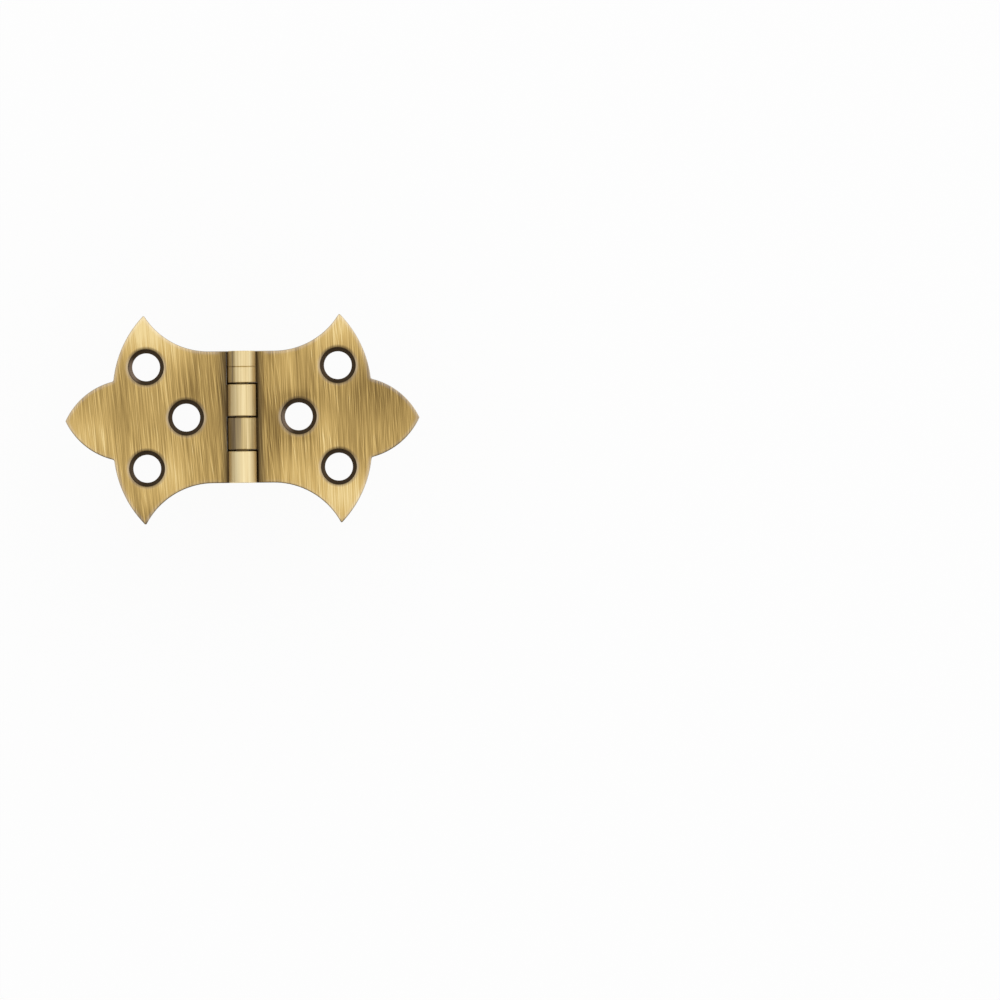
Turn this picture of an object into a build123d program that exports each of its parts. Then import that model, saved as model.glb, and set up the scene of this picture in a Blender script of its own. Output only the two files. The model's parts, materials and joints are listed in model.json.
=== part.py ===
from build123d import *
import os
from math import asin, degrees, sqrt

# A decorative cabinet hinge, open flat on its back: two stamped brass leaves, rolled round one pin.
# X runs across the leaves, Y up along the pin and Z out of the visible faces. The mounting backs lie
# on Z = 0, and the origin is straight under the middle of the pin. Sizes are in millimetres and degrees.

# Sheet, pin and barrel
leaf_thickness = 1.2
pin_diameter = 2.0
pin_clearance = 0.03  # between the pin and the knuckles, on the radius
pin_recess = 0.2  # from each end of the barrel in to the end of the pin
pin_chamfer = 0.15
barrel_length = 21.3
knuckle_count = 4
knuckle_gap = 0.3
knuckle_chamfer = 0.1
leaf_clearance = 0.3  # from a knuckle to the edge of the leaf that it turns past
seam_gap = 0.06  # from the rolled end of a knuckle to the face of its own leaf

# Leaf outline: reaches are measured from the pin, spans run evenly about the middle of the outline
leaf_reach = 28.6
spike_reach = 15.8
spike_span = 33.9
spike_flare = 5.0  # from the tip of a spike out to the notch beside it
notch_span = 12.7
scallop_radius = 12.3
spike_radius = 17.8
lobe_radius = 11.5
outline_drop = 0.38  # from the middle of the barrel down to the middle of the outline
tip_radius = 0.2
notch_radius = 0.4
edge_radius = 0.15

# Screw holes
hole_diameter = 4.5
sink_diameter = 5.9
hole_land = 0.4  # straight wall left under the countersink
hole_spacing = 16.4
outer_hole_inset = 0.3  # from the tip of a spike in to the hole below it
inner_hole_reach = 9.1

# Crimp across the front of the top knuckle, which locks the pin
crimp_width = 0.2
crimp_depth = 0.1
crimp_arc = 200.0

# Sizes that follow
pin_radius = pin_diameter / 2
bore_radius = pin_radius + pin_clearance
barrel_radius = bore_radius + leaf_thickness
waist_half = barrel_length / 2
edge_reach = barrel_radius + leaf_clearance
knuckle_pitch = (barrel_length + knuckle_gap) / knuckle_count
knuckle_length = knuckle_pitch - knuckle_gap
notch_reach = spike_reach + spike_flare
outer_hole_reach = spike_reach - outer_hole_inset
hole_radius = hole_diameter / 2
sink_radius = sink_diameter / 2
# A roll starts under the pin and ends where its outer edge comes down to the face of its own leaf
roll_arc = 270 + degrees(asin((bore_radius - seam_gap) / barrel_radius))
pin_axis = Axis((0, 0, barrel_radius), (0, 1, 0))

NEAR = 1e-6
TOP_SLOT = 0
RIGHT_SLOTS = range(TOP_SLOT, knuckle_count, 2)
LEFT_SLOTS = range(TOP_SLOT + 1, knuckle_count, 2)


def knuckle_top(slot):
    """Height of the upper end of a knuckle, with the slots counted from the top of the barrel."""
    return waist_half - slot * knuckle_pitch


def half_outline(upward):
    """Edges from the barrel out to the tip of the lobe: the upper half for 1, the lower half for -1."""
    waist = upward * waist_half
    spike_tip = (spike_reach, upward * spike_span / 2 - outline_drop)
    notch = (notch_reach, upward * notch_span / 2 - outline_drop)
    lobe_tip = (leaf_reach, -outline_drop)
    # The scallop leaves the straight waist without a corner
    rise = abs(spike_tip[1] - waist)
    scallop_run = sqrt(scallop_radius**2 - (scallop_radius - rise) ** 2)
    scallop_start = (spike_reach - scallop_run, waist)
    return [
        Line((0, waist), scallop_start),
        RadiusArc(scallop_start, spike_tip, upward * -scallop_radius),
        RadiusArc(spike_tip, notch, upward * spike_radius),
        RadiusArc(notch, lobe_tip, upward * lobe_radius),
    ]


def rounded(face, radius, *reaches):
    """The face with its corners at the given reaches rounded."""
    corners = face.vertices().filter_by(lambda v: any(abs(v.X - reach) < NEAR for reach in reaches))
    return fillet(corners, radius)


def leaf_blank():
    """Flat stamped sheet with its front edges eased, before the barrel edge is notched and rolled."""
    barrel_edge = Line((0, waist_half), (0, -waist_half))
    face = make_face(half_outline(1) + half_outline(-1) + [barrel_edge])
    face = rounded(face, notch_radius, notch_reach)
    face = rounded(face, tip_radius, spike_reach, leaf_reach)
    sheet = extrude(face, leaf_thickness)
    front = sheet.faces().sort_by(Axis.Z)[-1]
    return fillet(front.edges().filter_by(lambda e: e.center().X > NEAR), edge_radius)


def barrel_relief(slots):
    """What is cut from the barrel edge so that only the tongues of a leaf's own knuckles stay."""
    depth = 2 * leaf_thickness
    relief = Box(edge_reach, 2 * barrel_length, depth, align=(Align.MIN, Align.CENTER, Align.CENTER))
    for slot in slots:
        tongue = Box(edge_reach, knuckle_length, depth, align=(Align.MIN, Align.MAX, Align.CENTER))
        relief -= Pos(0, knuckle_top(slot)) * tongue
    return relief


def rolled_knuckle(slot):
    """The sheet's own section, carried round the pin from below, with its two outer corners broken."""
    middle = Pos(knuckle_top(slot) - knuckle_length / 2, leaf_thickness / 2)
    section = Plane.YZ * middle * Rectangle(knuckle_length, leaf_thickness)
    section = chamfer(section.vertices().group_by(Axis.Z)[0], knuckle_chamfer)
    return revolve(section, pin_axis, roll_arc)


def crimp_groove():
    """V groove across the front of the top knuckle."""
    middle = knuckle_top(TOP_SLOT) - knuckle_length / 2
    flanks = Polyline(
        (middle - crimp_width, -crimp_depth),
        (middle + crimp_width, -crimp_depth),
        (middle, crimp_depth),
        close=True,
    )
    section = (Plane.YZ * make_face(flanks)).rotate(pin_axis, 180 - crimp_arc / 2)
    return revolve(section, pin_axis, crimp_arc)


def screw_hole():
    """Clearance hole with its countersink opening to the front."""
    through = Cylinder(hole_radius, 4 * leaf_thickness)
    sink_align = (Align.CENTER, Align.CENTER, Align.MIN)
    sink = Cone(hole_radius, sink_radius, leaf_thickness - hole_land, align=sink_align)
    return through + Pos(0, 0, hole_land) * sink


def leaf(slots):
    """A right-hand leaf with its own knuckles."""
    sheet = leaf_blank() - barrel_relief(slots)
    for slot in slots:
        sheet += rolled_knuckle(slot)
    sheet -= Pos(inner_hole_reach, 0) * screw_hole()
    for upward in (1, -1):
        sheet -= Pos(outer_hole_reach, upward * hole_spacing / 2) * screw_hole()
    return sheet


def hinge_pin():
    """Plain pin with broken ends, just inside the ends of the barrel."""
    pin = Cylinder(pin_radius, barrel_length - 2 * pin_recess, rotation=(90, 0, 0))
    pin = chamfer(pin.edges().filter_by(GeomType.CIRCLE), pin_chamfer)
    return Pos(0, 0, barrel_radius) * pin


pieces = {
    "left_leaf": mirror(leaf(LEFT_SLOTS), Plane.YZ),
    "right_leaf": leaf(RIGHT_SLOTS) - crimp_groove(),
    "hinge_pin": hinge_pin(),
}

os.makedirs("parts", exist_ok=True)
for name, piece in pieces.items():
    export_step(piece, f"parts/{name}.step")
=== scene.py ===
import json
from math import cos, e, radians, sin

import bpy
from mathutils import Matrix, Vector


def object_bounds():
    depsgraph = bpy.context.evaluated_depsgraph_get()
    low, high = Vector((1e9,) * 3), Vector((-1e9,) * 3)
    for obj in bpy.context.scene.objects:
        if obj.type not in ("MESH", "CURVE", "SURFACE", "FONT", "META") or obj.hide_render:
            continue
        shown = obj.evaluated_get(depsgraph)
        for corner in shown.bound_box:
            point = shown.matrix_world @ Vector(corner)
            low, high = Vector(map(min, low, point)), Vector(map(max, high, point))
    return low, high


# A decorative cabinet hinge in antique brass, brushed along its pin and open flat on its back.
# The shapes are the solids of the frame. Finish, floor, light and camera are added here.
# The scene is in metres, and the finishes measure in millimetres, both in the frame's own axes.

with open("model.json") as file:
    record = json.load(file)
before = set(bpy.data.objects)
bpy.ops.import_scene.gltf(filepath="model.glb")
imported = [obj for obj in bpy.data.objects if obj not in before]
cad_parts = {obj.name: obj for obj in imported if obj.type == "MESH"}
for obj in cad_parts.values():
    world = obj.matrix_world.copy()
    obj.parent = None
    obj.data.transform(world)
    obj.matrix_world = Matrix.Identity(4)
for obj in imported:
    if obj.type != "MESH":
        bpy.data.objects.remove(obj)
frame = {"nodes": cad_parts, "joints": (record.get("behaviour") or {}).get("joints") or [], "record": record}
cad_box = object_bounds()

MM = 0.001  # one millimetre in metres

# The photograph's framing
image_side_px = 1000
px_mm = 0.1617  # size of one pixel on the hinge
pin_px = (242.6, 417.0)  # where the middle of the pin shows
photo_turn = radians(0.65)  # the hinge lies turned by this much, against the clock
camera_distance = 1.5
sensor_mm = 36.0

# Sizes that the finishes follow, in millimetres
pin_height = frame["joints"][0]["pos_m"][2] / MM  # also the radius of the barrel
barrel_length = 21.3
knuckle_count = 4
knuckle_gap = 0.3
leaf_clearance = 0.3  # from a knuckle to the edge of the other leaf
sink_width = 0.70  # from a screw hole out to the mouth of its countersink
lip_width = 0.5  # rounded lip outside that mouth
lip_drop = 0.05  # how far the lip dips
rim_width = 1.2  # how far in from an edge its painted sheen and wear reach
knuckle_pitch = (barrel_length + knuckle_gap) / knuckle_count
crimp_height = (barrel_length + knuckle_gap - knuckle_pitch) / 2  # middle of the top knuckle

# Colours of the brass, linear
# Oxide, also painted shade at the foot of the barrel
OXIDE = (0.046, 0.027, 0.011, 1)
# Brown of oxide, also painted shade beside the barrel and on the lips
SEAM_BROWN = (0.085, 0.056, 0.028, 1)
GLEAM_AND_WORN_OXIDE = (0.27, 0.20, 0.145, 1)
# Painted highlight on the lips of the countersinks
LIP_HIGHLIGHT_PALE = (0.53, 0.44, 0.33, 1)
# Painted highlight on the rims of the outline
RIM_HIGHLIGHT_PALE = (0.62, 0.50, 0.34, 1)
RIM_SHEEN = (0.06, 0.09, 0.145, 1)  # painted sheen and wear that the rim adds to the face
EDGE_BROWN = (0.120, 0.098, 0.066, 1)
# Painted shade along the lower edges and rims
LOWER_EDGE_SHADE_BROWN = (0.060, 0.042, 0.024, 1)
# Painted shade down the sides of the barrel, in a darker gold
FLANK_SHADE_GOLD = (0.46, 0.335, 0.14, 1)
LEAF_TONES = (
    (0.00, (0.085, 0.054, 0.018, 1)),
    (0.28, (0.280, 0.180, 0.058, 1)),
    (0.50, (0.490, 0.330, 0.113, 1)),
    (0.72, (0.690, 0.480, 0.174, 1)),
    (1.00, (0.890, 0.700, 0.345, 1)),
)
KNUCKLE_TONES = (
    (0.00, (0.150, 0.107, 0.058, 1)),
    (0.28, (0.330, 0.250, 0.145, 1)),
    (0.50, (0.620, 0.475, 0.225, 1)),
    (0.75, (0.820, 0.655, 0.355, 1)),
    (1.00, (0.930, 0.780, 0.460, 1)),
)
# Darkened, as antique brass and as painted shade where the pin shows between the knuckles
PIN_TONES = (
    (0.00, (0.050, 0.034, 0.015, 1)),
    (0.50, (0.160, 0.110, 0.048, 1)),
    (1.00, (0.360, 0.265, 0.125, 1)),
)

# Brushing: width and length of the strokes in millimetres, and how much each size changes the tone
FACE_STROKES = (
    (2.40, 16.0, 0.14),
    (0.50, 18.0, 0.14),
    (0.22, 14.0, 0.36),
    (0.12, 9.0, 0.50),
    (0.06, 7.0, 0.42),
)
# Round the barrel the strokes are polishing lines, and their broad sizes are painted reflection bands as
# well
KNUCKLE_STROKES = (
    (0.90, 60.0, 0.46),
    (0.36, 40.0, 0.50),
    (0.14, 12.0, 0.24),
)
PIN_STROKES = (
    (0.25, 12.0, 0.30),
    (0.08, 5.0, 0.20),
)
SCRATCHES = (0.2, 11.0, 0.24)  # sparse pale lines across the brushing
SCRATCH_SLANT = 0.14
SCRATCH_CUT = (0.58, 0.70)  # of the streaks, only the peaks between these show
SCRATCH_LAYER = 77
LAYER_STEP = 10  # keeps the sizes of strokes from repeating each other
KNUCKLE_STEP = 20  # gives each knuckle strokes of its own
BRUSH_SLANT = {"left": 0.08, "right": 0.03}  # drift of the strokes, to the right as they run down
DARK_SHARE = 0.6  # how far dark strokes stand out, beside pale ones

# Tones, from 0 for the darkest to 1 for the palest, and what changes them
FACE_TONE = {"left": 0.505, "right": 0.460}
KNUCKLE_TONE = {"left": 0.70, "right": 0.86}
KNUCKLE_LIFT = {"left": 0.07, "right": -0.13}  # from one knuckle down to the next
KNUCKLE_SHADE = -0.42  # on the left side of the right leaf's knuckles
BACK_TONE = 0.28
BACK_CLOUD = 0.25
BACK_BRUSHING = 0.3

# Spots of brighter or darker tone, among them painted shade beside the barrel and above and below the inner
# holes: middle, half-width and half-height in millimetres, tone
TONE_AND_SHADE_SPOTS = {
    "left": (
        ((-16.1, 14.5), (5.0, 4.5), 0.46),
        ((-10.9, 11.6), (5.0, 3.5), 0.12),
        ((-25.0, -2.9), (4.0, 4.0), 0.16),
        ((-19.4, 1.9), (1.9, 6.5), -0.11),
        ((-11.8, -9.0), (4.0, 4.0), 0.26),
        ((-15.9, -17.2), (2.6, 2.6), -0.20),
        # painted shade beside the barrel
        ((-5.4, 4.0), (3.2, 11.0), -0.12),
        ((-7.6, -8.5), (1.8, 4.0), -0.12),
        # painted shade above the inner hole
        ((-9.4, 3.8), (2.6, 1.6), -0.06),
    ),
    "right": (
        ((15.4, 15.3), (4.5, 4.5), 0.36),
        ((6.8, 8.0), (2.2, 4.5), 0.15),
        ((13.8, -2.3), (2.2, 5.0), 0.12),
        ((21.0, 4.2), (6.0, 5.0), -0.16),
        ((16.6, -13.0), (6.0, 4.5), 0.40),
        ((8.5, -9.5), (4.0, 3.5), 0.14),
        # painted shade beside the barrel, then above and below the inner hole
        ((4.6, 1.0), (2.0, 9.0), -0.20),
        ((9.1, 3.3), (2.4, 1.0), -0.16),
        ((9.3, -3.3), (2.2, 0.8), -0.12),
    ),
}
SINK_GLEAM = {  # how far the oxide is rubbed off, and how strong the painted highlight is, on the lower left of each countersink
    "left_upper_screw": 0.9,
    "left_inner_screw": 0.1,
    "left_lower_screw": 0.2,
    "right_upper_screw": 0.1,
    "right_inner_screw": 0.8,
    "right_lower_screw": 0.1,
}
GLEAM_SIDE = Vector((-0.95, -0.3, 0))  # lower left

# Fades out from the barrel: where each starts and where it is full, in millimetres
BARREL_FADE = (0.15, 0.05)
SEAM_FADE = (1.85, 0.25)
SEAM_RAGGEDNESS = 0.9  # how far the brushing moves the edge of the dark seam
SEAM_TAPER = {"left": -0.025, "right": 0.025}  # how much narrower that seam gets with each millimetre up
FOOT_FADE = (0.5, 0.2)
OPEN_FACE_FADE = (0.8, 2.0)

# Fades on the barrel, round it from its top and along it from the crimp, in the same way
FLANK_FADE = (1.3, 3.2)
KNUCKLE_SHADE_FADE = (0.3, -1.7)
KNUCKLE_SHADE_DRIFT = 0.25  # to the right, from one knuckle down to the next
CRIMP_FADE = (0.16, 0.04)

# Fades out from the mouth of a countersink, in the same way
SINK_FADE = (0.02, -0.08)
LIP_FADE = (lip_width, 0.0)
GLEAM_FADE = (0.0, -0.3)

# Fades by direction: how far a surface faces the front
BACK_FACING = (-0.5, -0.9)
WALL_FACING = (0.5, 0.2)
RIM_FACING = (0.99, 0.86)
SHEEN_AND_WEAR_FACING = (0.999, 0.93)  # with its edges eased
LINE_FACING = (0.90, 0.75)  # with its edges eased

# Fades by direction: how far a surface, or the way to it, points to the upper end of the pin
END_RISE = (0.8, 0.95)
UPPER_RISE = (0.5, 0.75)
LOWER_RISE = (-0.35, -0.9)
UPPER_LIP_RISE = (0.1, 0.9)
LOWER_LIP_RISE = (-0.1, -0.9)
GLEAM_NEARNESS = (0.5, 0.97)  # to the gleaming side instead

# How much each layer covers what lies under it
SEAM_COVER = 0.85
FOOT_COVER = 0.75
FLANK_COVER = 0.6
CRIMP_COVER = 0.2
LIP_COVER = 0.6
SHADED_LIP_COVER = 0.75
LINE_COVER = 0.6
EDGE_COVER = 0.85
LOWER_LIP_SHADE = 0.6  # how dark the lower side of a lip is, beside the upper side
LOWER_RIM_SHEEN_AND_WEAR = 0.4  # how much painted sheen and wear the lower rims get, beside the others

# Surface: roughness, how it changes on pale strokes, height of the strokes in millimetres
ROUGHNESS = {"face": 0.40, "knuckles": 0.46, "oxide": 0.42, "pin": 0.42}
STROKE_ROUGHNESS = {"face": -0.25, "pin": 0.3}
STROKE_HEIGHT = {"face": 0.006, "knuckles": 0.002, "pin": 0.003}
HIGHLIGHT_STRETCH = 0.5
RIM_SAMPLES = 8
MOTTLING = {  # spots per millimetre, and detail
    "oxide": (0.7, 3.0),
    "back": (0.2, 5.0),
    "pin": (1.5, 4.0),
}

# Floor
FLOOR_SIDE = 8.0
FLOOR_DEPTH = 1.05  # below the pin, in reaches of a leaf
FLOOR_PAINT = (0.9, 0.9, 0.9, 1)
FLOOR_CLEAN = 0.9  # share of clean white, and the rest of the floor takes the shadow

# Shade under the barrel, with its lengths in millimetres
GAP_SHADE_BROWN = (0.05, 0.03, 0.012, 1)
GAP_SHADE_MARGIN = 0.1  # past the gaps beside the barrel
GAP_SHADE_DROP = 0.02  # below the backs of the leaves
GAP_SHADE_REACH = 3.0  # how near the hinge must be to darken it
GAP_SHADE_OPENNESS = (0.85, 0.50)
GAP_SHADE_SAMPLES = 16

# Light
SKY_SIDE = Vector((0.35, 0.32, 0.85)).normalized()  # where the sky is brightest
SKY_LEVELS = ((0.0, 0.50), (0.30, 0.72), (0.70, 1.00), (1.0, 1.08))  # nearness to that side, brightness
WINDOW_PLACE = Vector((0.35, 0.55, 0.55))
WINDOW_SIZE = 0.9
WINDOW_POWER = 0.9


class Nodes:
    """A node tree. Its methods add a node and return the output that the next one takes."""

    def __init__(self, tree):
        self.tree = tree

    def node(self, kind, inputs=(), **settings):
        made = self.tree.nodes.new(kind)
        for name, value in settings.items():
            setattr(made, name, value)
        for key, value in dict(inputs).items():
            self.feed(made.inputs[key], value)
        return made

    def feed(self, socket, value):
        if isinstance(value, bpy.types.NodeSocket):
            self.tree.links.new(value, socket)
        else:
            socket.default_value = value

    def math(self, operation, *values):
        return self.node("ShaderNodeMath", dict(enumerate(values)), operation=operation).outputs[0]

    def fold(self, operation, first, *others):
        """One value from many, such as their sum or the largest."""
        for value in others:
            first = self.math(operation, first, value)
        return first

    def total(self, *values):
        return self.fold("ADD", *values)

    def product(self, *values):
        return self.fold("MULTIPLY", *values)

    def rest(self, share):
        """What a share leaves of the whole."""
        return self.math("SUBTRACT", 1.0, share)

    def vector(self, operation, *values):
        made = self.node("ShaderNodeVectorMath", dict(enumerate(values)), operation=operation)
        number = operation in ("LENGTH", "DOT_PRODUCT")
        return made.outputs["Value" if number else "Vector"]

    def turned(self, direction, kind, start, end):
        """A direction, carried from one set of axes to another."""
        settings = {"vector_type": kind, "convert_from": start, "convert_to": end}
        return self.node("ShaderNodeVectorTransform", {0: direction}, **settings).outputs[0]

    def split(self, vector):
        return self.node("ShaderNodeSeparateXYZ", {0: vector}).outputs

    def join(self, *values):
        return self.node("ShaderNodeCombineXYZ", dict(enumerate(values))).outputs[0]

    def step(self, value, start, end):
        """Rises smoothly from 0 at start to 1 at end, or falls where end is the lower."""
        low, high = sorted((start, end))
        inputs = {0: value, 1: low, 2: high, 3: float(start > end), 4: float(start < end)}
        return self.node("ShaderNodeMapRange", inputs, interpolation_type="SMOOTHSTEP").outputs[0]

    def ramp(self, value, stops):
        made = self.node("ShaderNodeValToRGB", {0: value})
        elements = made.color_ramp.elements
        while len(elements) < len(stops):
            elements.new(0.5)
        for element, (place, colour) in zip(elements, stops):
            element.position = place
            element.color = colour
        return made.outputs["Color"]

    def mix(self, share, start, end):
        """Colour between two colours."""
        return self.node("ShaderNodeMix", {0: share, 6: start, 7: end}, data_type="RGBA").outputs[2]

    def add(self, share, start, extra):
        """Colour with a share of another laid over it."""
        inputs = {0: share, 6: start, 7: extra}
        return self.node("ShaderNodeMix", inputs, data_type="RGBA", blend_type="ADD").outputs[2]

    def blend(self, share, start, end):
        """Number between two numbers."""
        return self.node("ShaderNodeMix", {0: share, 2: start, 3: end}).outputs[0]

    def mix_shaders(self, share, under, over):
        """Shader between two shaders."""
        return self.node("ShaderNodeMixShader", {0: share, 1: under, 2: over}).outputs[0]

    def noise(self, vector, scale=1.0, detail=2.0):
        inputs = {"Vector": vector, "Scale": scale, "Detail": detail}
        return self.node("ShaderNodeTexNoise", inputs).outputs[0]


class Finish(Nodes):
    """The nodes of one material."""

    def __init__(self, name):
        self.material = bpy.data.materials.new(name)
        self.material.use_nodes = True
        super().__init__(self.material.node_tree)
        self.tree.nodes.clear()

    def position(self):
        """Place on the hinge in millimetres, which goes along when a leaf swings."""
        place = self.node("ShaderNodeTexCoord").outputs["Object"]
        return self.vector("DIVIDE", place, (MM, MM, MM))

    def normal(self):
        """Direction that the surface faces, which goes along as well."""
        return self.node("ShaderNodeTexCoord").outputs["Normal"]

    def eased_normal(self):
        """That direction if the edges were rounded wider, which tells how near an edge a place is."""
        inputs = {"Radius": rim_width * MM}
        eased = self.node("ShaderNodeBevel", inputs, samples=RIM_SAMPLES).outputs[0]
        return self.turned(eased, "NORMAL", "WORLD", "OBJECT")

    def streaks(self, across, along, width, length, layer):
        """Noise from 0 to 1, drawn out along the brushing."""
        place = (self.math("DIVIDE", across, width), self.math("DIVIDE", along, length), layer)
        return self.noise(self.join(*place))

    def strokes(self, across, along, sizes):
        """Brush strokes: the sum of several sizes of streaks, about 0."""
        layers = []
        for count, (width, length, strength) in enumerate(sizes):
            streaks = self.streaks(across, along, width, length, LAYER_STEP * count)
            layers.append(self.product(self.math("SUBTRACT", streaks, 0.5), 2 * strength))
        return self.total(*layers)

    def patch(self, place, middle, halves, strength):
        """Soft oval of a given strength."""
        offset = self.vector("SUBTRACT", place, (*middle, 0))
        offset = self.vector("MULTIPLY", offset, (1 / halves[0], 1 / halves[1], 0))
        fall = self.product(self.vector("DOT_PRODUCT", offset, offset), -1)
        return self.product(self.math("POWER", e, fall), strength)

    def across_brushing(self):
        """Direction on the surface, square to the strokes, in which highlights are drawn out."""
        across = self.vector("CROSS_PRODUCT", (0, 1, 0), self.normal())
        # A small part to the front keeps it from vanishing on the ends of the barrel
        across = self.vector("ADD", across, (0, 0, 0.01))
        return self.turned(across, "VECTOR", "OBJECT", "WORLD")

    def metal(self, colour, roughness, height):
        """The finished metal, with its relief from a height in millimetres."""
        relief = self.node("ShaderNodeBump", {"Height": height, "Strength": 1.0, "Distance": MM})
        inputs = {
            "Base Color": colour,
            "Metallic": 1.0,
            "Roughness": roughness,
            "Normal": relief.outputs[0],
            "Anisotropic": HIGHLIGHT_STRETCH,
            "Tangent": self.across_brushing(),
        }
        shader = self.node("ShaderNodeBsdfPrincipled", inputs)
        self.node("ShaderNodeOutputMaterial", {"Surface": shader.outputs[0]})
        return self.material

    def seen(self):
        """1 for what the eye sees, straight or mirrored, and 0 for what only carries light."""
        path = self.node("ShaderNodeLightPath").outputs
        rays = [path[f"Is {ray} Ray"] for ray in ("Camera", "Glossy", "Transmission")]
        return self.fold("MAXIMUM", *rays)

    def clear(self):
        return self.node("ShaderNodeBsdfTransparent").outputs[0]

    def seen_from_above(self, shade):
        """The shade, clear to whoever looks from below."""
        below = self.node("ShaderNodeNewGeometry").outputs["Backfacing"]
        surface = self.mix_shaders(below, shade, self.clear())
        self.node("ShaderNodeOutputMaterial", {"Surface": surface})
        return self.material


class LeafBrass(Finish):
    """Antique brass of one leaf: brushed face, bright knuckles, dark oxide where no brush reaches, painted
    shade and highlights.
    """

    def __init__(self, side):
        super().__init__(f"{side}_leaf_brass")
        self.side = side
        self.place = self.position()
        self.x, self.y, z = self.split(self.place)
        above_pin = self.math("SUBTRACT", z, pin_height)
        from_pin = self.vector("LENGTH", self.join(self.x, 0.0, above_pin))
        self.on_barrel = self.step(self.math("SUBTRACT", from_pin, pin_height), *BARREL_FADE)
        self.off_barrel = self.rest(self.on_barrel)
        self.from_barrel = self.math("SUBTRACT", self.math("ABSOLUTE", self.x), pin_height)
        self.arc = self.product(self.math("ARCTAN2", self.x, above_pin), pin_height)
        from_top = self.math("SUBTRACT", barrel_length / 2, self.y)
        self.slot = self.math("FLOOR", self.math("DIVIDE", from_top, knuckle_pitch))
        self.brushing = self.strokes(self.slanted(BRUSH_SLANT[side]), self.y, FACE_STROKES)
        shifted = self.total(self.arc, self.product(self.slot, KNUCKLE_STEP))
        self.bands = self.strokes(shifted, self.y, KNUCKLE_STROKES)

    def slanted(self, slant):
        return self.total(self.x, self.product(self.y, slant))

    def brushed_face(self):
        """Strokes and scratches, with spots of brighter or darker tone, some of them painted shade."""
        pale = self.math("MAXIMUM", self.brushing, 0.0)
        dark = self.product(self.math("MINIMUM", self.brushing, 0.0), DARK_SHARE)
        width, length, strength = SCRATCHES
        lines = self.streaks(self.slanted(SCRATCH_SLANT), self.y, width, length, SCRATCH_LAYER)
        scratches = self.product(self.step(lines, *SCRATCH_CUT), strength)
        spots_and_shade = [self.patch(self.place, *spot) for spot in TONE_AND_SHADE_SPOTS[self.side]]
        tone = self.total(pale, dark, scratches, FACE_TONE[self.side], *spots_and_shade)
        return self.ramp(tone, LEAF_TONES)

    def knuckles(self):
        """Bands along the barrel, different on each knuckle, painted shade down its sides and on the left of
        the right leaf's knuckles, and the crimp line across the top one.
        """
        lift = self.product(self.slot, KNUCKLE_LIFT[self.side])
        tone = self.total(self.bands, lift, KNUCKLE_TONE[self.side])
        if self.side == "right":
            drift = self.product(self.slot, KNUCKLE_SHADE_DRIFT)
            shaded = self.step(self.math("SUBTRACT", self.arc, drift), *KNUCKLE_SHADE_FADE)
            tone = self.total(tone, self.product(shaded, KNUCKLE_SHADE))
        colour = self.ramp(tone, KNUCKLE_TONES)
        # Painted shade: a darker gold down both sides of the barrel
        flank_shade = self.step(self.math("ABSOLUTE", self.arc), *FLANK_FADE)
        colour = self.mix(self.product(flank_shade, FLANK_COVER), colour, FLANK_SHADE_GOLD)
        if self.side == "right":
            from_crimp = self.math("ABSOLUTE", self.math("SUBTRACT", self.y, crimp_height))
            crimp = self.step(from_crimp, *CRIMP_FADE)
            colour = self.mix(self.product(crimp, CRIMP_COVER), colour, SEAM_BROWN)
        return colour

    def seam(self):
        """How dark the face is beside the barrel, as painted shade and oxide, with a ragged edge."""
        taper = self.product(self.y, SEAM_TAPER[self.side])
        ragged = self.total(self.from_barrel, taper, self.product(self.brushing, SEAM_RAGGEDNESS))
        return self.product(self.step(ragged, *SEAM_FADE), self.off_barrel, SEAM_COVER)

    def countersinks(self):
        """Oxide colour of the countersinks with a painted highlight on their lower left, and the shares of
        inside, lip and the lip's side with painted shade.
        """
        oxide = self.mix(self.noise(self.place, *MOTTLING["oxide"]), OXIDE, SEAM_BROWN)
        on_face = self.join(self.x, self.y, 0.0)
        inside, lip, shaded_lip = [], [], []
        for mount in frame["record"]["mounts"]:
            name = mount["name"]
            if name not in SINK_GLEAM or not name.startswith(self.side):
                continue
            middle = Vector(mount["pos_m"]).to_2d() / MM
            offset = self.vector("SUBTRACT", on_face, (*middle, 0))
            heading = self.vector("NORMALIZE", offset)
            mouth = mount["dims"]["r_mm"] + sink_width
            from_mouth = self.math("SUBTRACT", self.vector("LENGTH", offset), mouth)
            inside.append(self.step(from_mouth, *SINK_FADE))
            lip.append(self.step(from_mouth, *LIP_FADE))
            rise = self.split(heading)[1]
            below = self.product(self.step(rise, *LOWER_LIP_RISE), LOWER_LIP_SHADE)
            shade = self.math("MAXIMUM", self.step(rise, *UPPER_LIP_RISE), below)
            shaded_lip.append(self.product(lip[-1], shade))
            # Painted highlight, with rubbed-off oxide, on the lower left wall of each countersink
            gleam = self.step(self.vector("DOT_PRODUCT", heading, GLEAM_SIDE), *GLEAM_NEARNESS)
            gleam = self.product(gleam, self.step(from_mouth, *GLEAM_FADE), SINK_GLEAM[name])
            oxide = self.mix(gleam, oxide, GLEAM_AND_WORN_OXIDE)
        return oxide, *(self.fold("MAXIMUM", *shares) for shares in (inside, lip, shaded_lip))

    def edges(self, colour, inside, lip):
        """The face paler towards its outline by painted sheen and wear, painted shade along the lower edges
        and rims, painted highlight on the side rims, brown side walls.
        """
        rise, facing = self.split(self.normal())[1:]
        eased = self.eased_normal()
        eased_facing = self.split(eased)[2]
        heading = self.vector("NORMALIZE", self.vector("MULTIPLY", eased, (1, 1, 0)))
        lower = self.step(self.split(heading)[1], *LOWER_RISE)

        face = self.rest(self.math("MAXIMUM", inside, lip))
        face = self.product(face, self.step(self.from_barrel, *OPEN_FACE_FADE))
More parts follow.
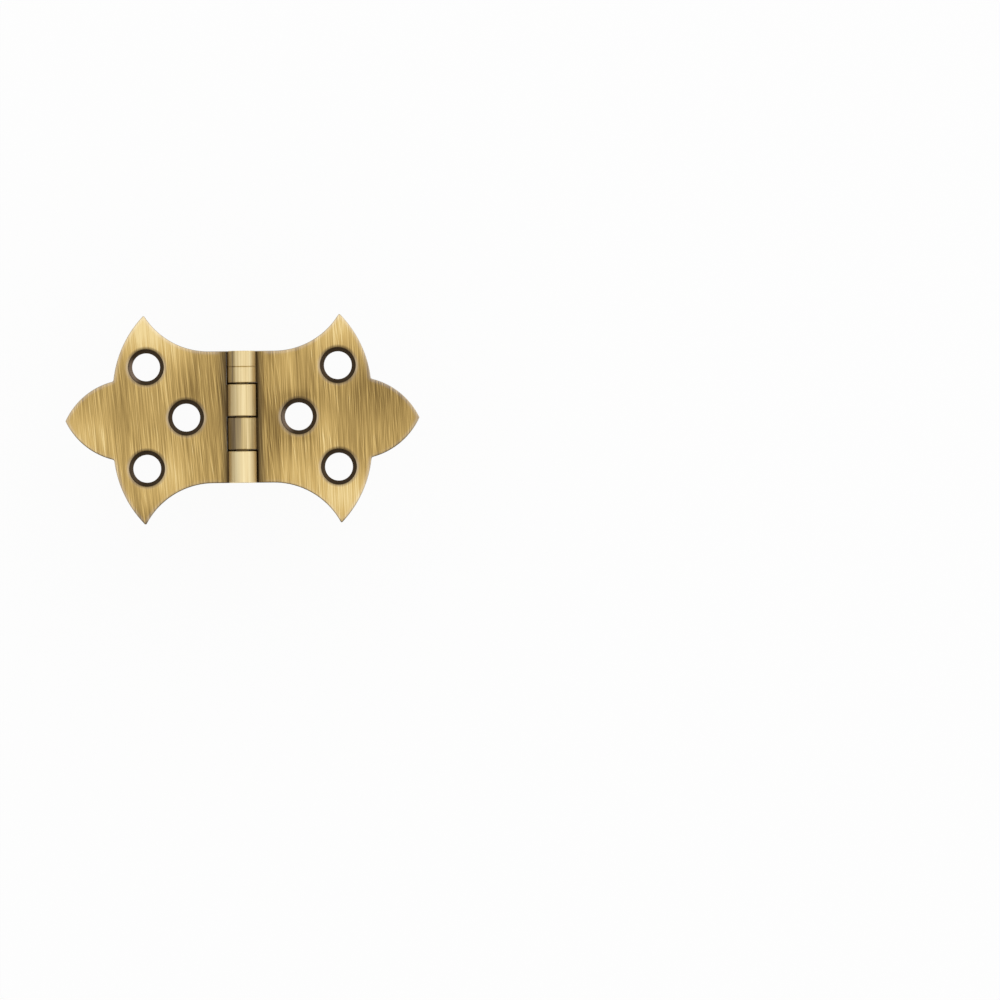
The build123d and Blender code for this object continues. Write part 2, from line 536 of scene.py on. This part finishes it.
        # Painted sheen, with wear, towards the outline, less on the lower rims
        rim_sheen_and_wear = self.blend(lower, 1.0, LOWER_RIM_SHEEN_AND_WEAR)
        sheen_and_wear = self.product(self.step(eased_facing, *SHEEN_AND_WEAR_FACING), face, rim_sheen_and_wear)
        colour = self.add(sheen_and_wear, colour, RIM_SHEEN)
        # Painted shade along the lower edges
        line = self.product(self.step(eased_facing, *LINE_FACING), face, lower, LINE_COVER)
        colour = self.mix(line, colour, LOWER_EDGE_SHADE_BROWN)

        outside = self.math("SUBTRACT", self.off_barrel, inside)
        rim = self.product(self.step(facing, *RIM_FACING), outside)
        end = self.step(self.math("ABSOLUTE", rise), *END_RISE)
        brown = self.math("MAXIMUM", self.step(facing, *WALL_FACING), self.step(rise, *UPPER_RISE))
        # Painted highlight on the side rims, brown on the walls and upper rims, painted shade on the lower
        # rims
        edge_colour = self.mix(brown, RIM_HIGHLIGHT_PALE, EDGE_BROWN)
        edge_colour = self.mix(lower, edge_colour, LOWER_EDGE_SHADE_BROWN)
        edge = self.product(self.math("MAXIMUM", rim, end), EDGE_COVER)
        return self.mix(edge, colour, edge_colour)

    def plain_back(self):
        """Dull colour of the mounting back."""
        cloud = self.product(self.noise(self.place, *MOTTLING["back"]), BACK_CLOUD)
        tone = self.total(cloud, self.product(self.brushing, BACK_BRUSHING), BACK_TONE)
        return self.ramp(tone, LEAF_TONES)

    def dressed(self):
        """The material, laid up from the face to the seams, countersinks, edges and back."""
        colour = self.mix(self.on_barrel, self.brushed_face(), self.knuckles())
        # Painted shade and oxide beside the barrel and at its foot
        seam = self.seam()
        colour = self.mix(seam, colour, SEAM_BROWN)
        foot = self.product(self.step(self.from_barrel, *FOOT_FADE), self.off_barrel, FOOT_COVER)
        colour = self.mix(foot, colour, OXIDE)

        back = self.step(self.split(self.normal())[2], *BACK_FACING)
        front = self.rest(back)
        oxide, *shares = self.countersinks()
        inside, lip, shaded_lip = (self.product(share, front) for share in shares)
        # Painted highlight on the sides of each lip, painted shade above it and, less, below it
        lit_lip = self.math("SUBTRACT", lip, shaded_lip)
        colour = self.mix(self.product(lit_lip, LIP_COVER), colour, LIP_HIGHLIGHT_PALE)
        colour = self.mix(self.product(shaded_lip, SHADED_LIP_COVER), colour, SEAM_BROWN)
        colour = self.mix(inside, colour, oxide)
        colour = self.edges(colour, inside, lip)
        colour = self.mix(back, colour, self.plain_back())

        satin = self.total(self.product(self.brushing, STROKE_ROUGHNESS["face"]), ROUGHNESS["face"])
        brushed = self.blend(self.on_barrel, satin, ROUGHNESS["knuckles"])
        roughness = self.blend(self.math("MAXIMUM", inside, seam), brushed, ROUGHNESS["oxide"])
        face_relief = self.product(self.brushing, STROKE_HEIGHT["face"])
        knuckle_relief = self.product(self.bands, STROKE_HEIGHT["knuckles"])
        relief = self.blend(self.on_barrel, face_relief, knuckle_relief)
        dip = self.product(self.math("SUBTRACT", lip, inside), lip_drop)
        return self.metal(colour, roughness, self.math("SUBTRACT", relief, dip))


def pin_brass():
    """Drawn brass of the pin, darkened as antique brass and as painted shade where it shows between the
    knuckles, with fine lines along its length.
    """
    s = Finish("pin_drawn_brass")
    place = s.position()
    x, y, z = s.split(place)
    arc = s.math("ARCTAN2", x, s.math("SUBTRACT", z, pin_height))
    lines = s.strokes(arc, y, PIN_STROKES)
    tone = s.total(s.noise(place, *MOTTLING["pin"]), lines)
    roughness = s.total(s.product(lines, STROKE_ROUGHNESS["pin"]), ROUGHNESS["pin"])
    return s.metal(s.ramp(tone, PIN_TONES), roughness, s.product(lines, STROKE_HEIGHT["pin"]))


def floor_white():
    """White floor: plain paint to the light, clean white with a soft shadow to the eye."""
    s = Finish("floor_white")
    paint = s.node("ShaderNodeBsdfDiffuse", {"Color": FLOOR_PAINT}).outputs[0]
    white = s.node("ShaderNodeEmission", {"Color": (1, 1, 1, 1), "Strength": 1.0}).outputs[0]
    return s.seen_from_above(s.mix_shaders(s.product(s.seen(), FLOOR_CLEAN), paint, white))


def gap_shade():
    """Deep shadow under the hinge, wherever the barrel or a leaf stands close over it."""
    s = Finish("gap_shade")
    inputs = {"Distance": GAP_SHADE_REACH * MM}
    openness = s.node("ShaderNodeAmbientOcclusion", inputs, samples=GAP_SHADE_SAMPLES).outputs["AO"]
    looked_at = s.node("ShaderNodeLightPath").outputs["Is Camera Ray"]
    share = s.product(s.step(openness, *GAP_SHADE_OPENNESS), looked_at)
    dark = s.node("ShaderNodeBsdfDiffuse", {"Color": GAP_SHADE_BROWN}).outputs[0]
    return s.seen_from_above(s.mix_shaders(share, s.clear(), dark))


def dress(node, material):
    for slot in frame["nodes"][node].material_slots:
        slot.material = material


def add_plane(name, width, length, height, material):
    bpy.ops.mesh.primitive_plane_add(size=1, location=(0, 0, height))
    plane = bpy.context.object
    plane.name = name
    plane.scale = (width, length, 1)
    plane.data.materials.append(material)


def add_floor():
    """White floor below the swing of the leaves, and the shade behind the gaps round the knuckles."""
    swing = max(abs(corner.x) for corner in cad_box)
    floor_height = pin_height * MM - FLOOR_DEPTH * swing
    add_plane("floor", FLOOR_SIDE, FLOOR_SIDE, floor_height, floor_white())
    shade_width = 2 * (pin_height + leaf_clearance + GAP_SHADE_MARGIN) * MM
    shade_height = cad_box[0].z - GAP_SHADE_DROP * MM
    add_plane("gap_shade", shade_width, barrel_length * MM, shade_height, gap_shade())


def add_light():
    """A bright sky that falls off to the sides, brightest from the upper right, and a soft lamp there."""
    world = bpy.data.worlds.new("soft_sky")
    bpy.context.scene.world = world
    world.use_nodes = True
    sky = Nodes(world.node_tree)
    direction = sky.node("ShaderNodeTexCoord").outputs["Generated"]
    greys = [(place, (level, level, level, 1)) for place, level in SKY_LEVELS]
    brightness = sky.ramp(sky.vector("DOT_PRODUCT", direction, SKY_SIDE), greys)
    sky.feed(sky.tree.nodes["Background"].inputs["Color"], brightness)

    lamp = bpy.data.lights.new("window", "AREA")
    lamp.size = WINDOW_SIZE
    lamp.energy = WINDOW_POWER
    window = bpy.data.objects.new("window", lamp)
    window.location = WINDOW_PLACE
    window.rotation_euler = (-WINDOW_PLACE).to_track_quat("-Z", "Y").to_euler()
    bpy.context.scene.collection.objects.link(window)


def add_camera():
    """Straight above, with the hinge at its place, size and turn in the photograph."""
    pixel = px_mm * MM
    right = (image_side_px / 2 - pin_px[0]) * pixel
    down = (image_side_px / 2 - pin_px[1]) * pixel
    turn = -photo_turn
    camera = bpy.data.cameras.new("photo_camera")
    camera.sensor_width = sensor_mm
    camera.lens = sensor_mm * camera_distance / (image_side_px * pixel)
    view = bpy.data.objects.new("photo_camera", camera)
    view.location = (
        right * cos(turn) + down * sin(turn),
        right * sin(turn) - down * cos(turn),
        camera_distance,
    )
    view.rotation_euler = (0, 0, turn)
    bpy.context.scene.collection.objects.link(view)
    bpy.context.scene.camera = view


for side in ("left", "right"):
    dress(f"{side}_leaf", LeafBrass(side).dressed())
dress("hinge_pin", pin_brass())
add_floor()
add_light()
add_camera()
bpy.context.scene.view_settings.view_transform = "Standard"
